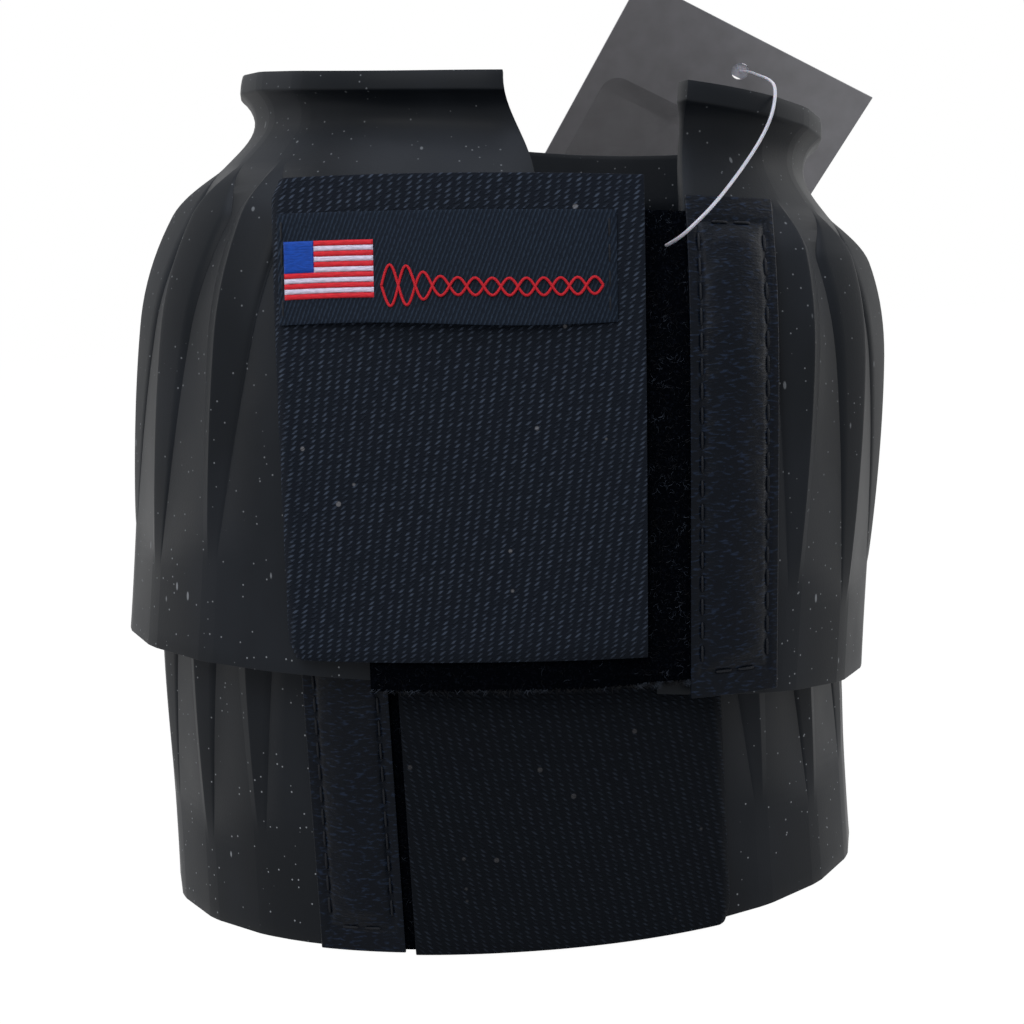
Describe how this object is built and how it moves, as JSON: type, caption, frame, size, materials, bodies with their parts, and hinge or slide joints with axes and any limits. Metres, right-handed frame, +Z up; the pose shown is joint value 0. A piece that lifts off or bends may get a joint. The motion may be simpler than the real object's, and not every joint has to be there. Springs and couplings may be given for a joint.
{
  "type": "bell boots",
  "caption": "Pair of ribbed rubber bell boots for a horse, one nested in the other, closed by hook and loop flaps, with a hang tag on a filament.",
  "frame": {"origin": "on the floor, under the middle of the pair without its hang tag", "axes": "+Z up out of the leg openings, -Y towards the closures, +X to the side of the upper boot's reinforcing strip"},
  "size_m": [0.2047, 0.1657, 0.2259],
  "materials": {
    "rubber": "matt moulded rubber with a little dust",
    "hook_tape": "woven hook tape, outer face",
    "loop_tape": "fuzzy loop tape",
    "leatherette": "glossy creased leatherette",
    "webbing": "woven backing strip",
    "thread": "polyester thread",
    "label_cloth": "woven damask label",
    "tag_card": "coated card",
    "clear_film": "clear label film",
    "nylon": "translucent nylon"
  },
  "bodies": {
    "lower_boot": {"lower_closure_flap": "hook_tape", "lower_hook_backing": "webbing", "lower_hook_leaf": "hook_tape", "lower_hook_stitching": "thread", "lower_label": "label_cloth", "lower_label_stitching": "thread", "lower_loop_backing": "webbing", "lower_loop_flap": "loop_tape", "lower_loop_root": "loop_tape", "lower_shell": "rubber", "lower_strip": "leatherette", "lower_strip_stitching": "thread"},
    "upper_boot": {"upper_hook_backing": "webbing", "upper_hook_leaf": "hook_tape", "upper_hook_stitching": "thread", "upper_loop_backing": "webbing", "upper_loop_root": "loop_tape", "upper_shell": "rubber", "upper_strip": "leatherette", "upper_strip_stitching": "thread", "tag_filament": "nylon", "tag_t_bar": "nylon"},
    "closure_flap": {"upper_closure_flap": "hook_tape", "upper_label": "label_cloth", "upper_label_stitching": "thread"},
    "loop_flap": {"upper_loop_flap": "loop_tape"},
    "hang_tag": {"hang_tag": "tag_card", "tag_sticker": "clear_film", "tag_paddle": "nylon"}
  },
  "joints": [
    {"name": "upper_lift", "type": "slide", "parent": "lower_boot", "child": "upper_boot", "axis": [0, 0, 1], "range_m": [0, 0.12]},
    {"name": "closure_open", "type": "hinge", "parent": "upper_boot", "child": "closure_flap", "pos_m": [-0.04878, -0.07093, 0.07528], "axis": [-0.0251, -0.0744, -0.9969], "range_deg": [0, 160]},
    {"name": "loop_open", "type": "hinge", "parent": "upper_boot", "child": "loop_flap", "pos_m": [0.0302, -0.07073, 0.06689], "axis": [0.0455, 0.0303, 0.9985], "range_deg": [0, 40]},
    {"name": "tag_swing", "type": "hinge", "parent": "upper_boot", "child": "hang_tag", "pos_m": [0.07084, 0.05053, 0.201], "axis": [0.866, 0.2113, -0.4532], "range_deg": [0, 45]}
  ],
  "couplings": [
    {"joint": "loop_open", "follows": "closure_open", "ratio": 0.25}
  ]
}
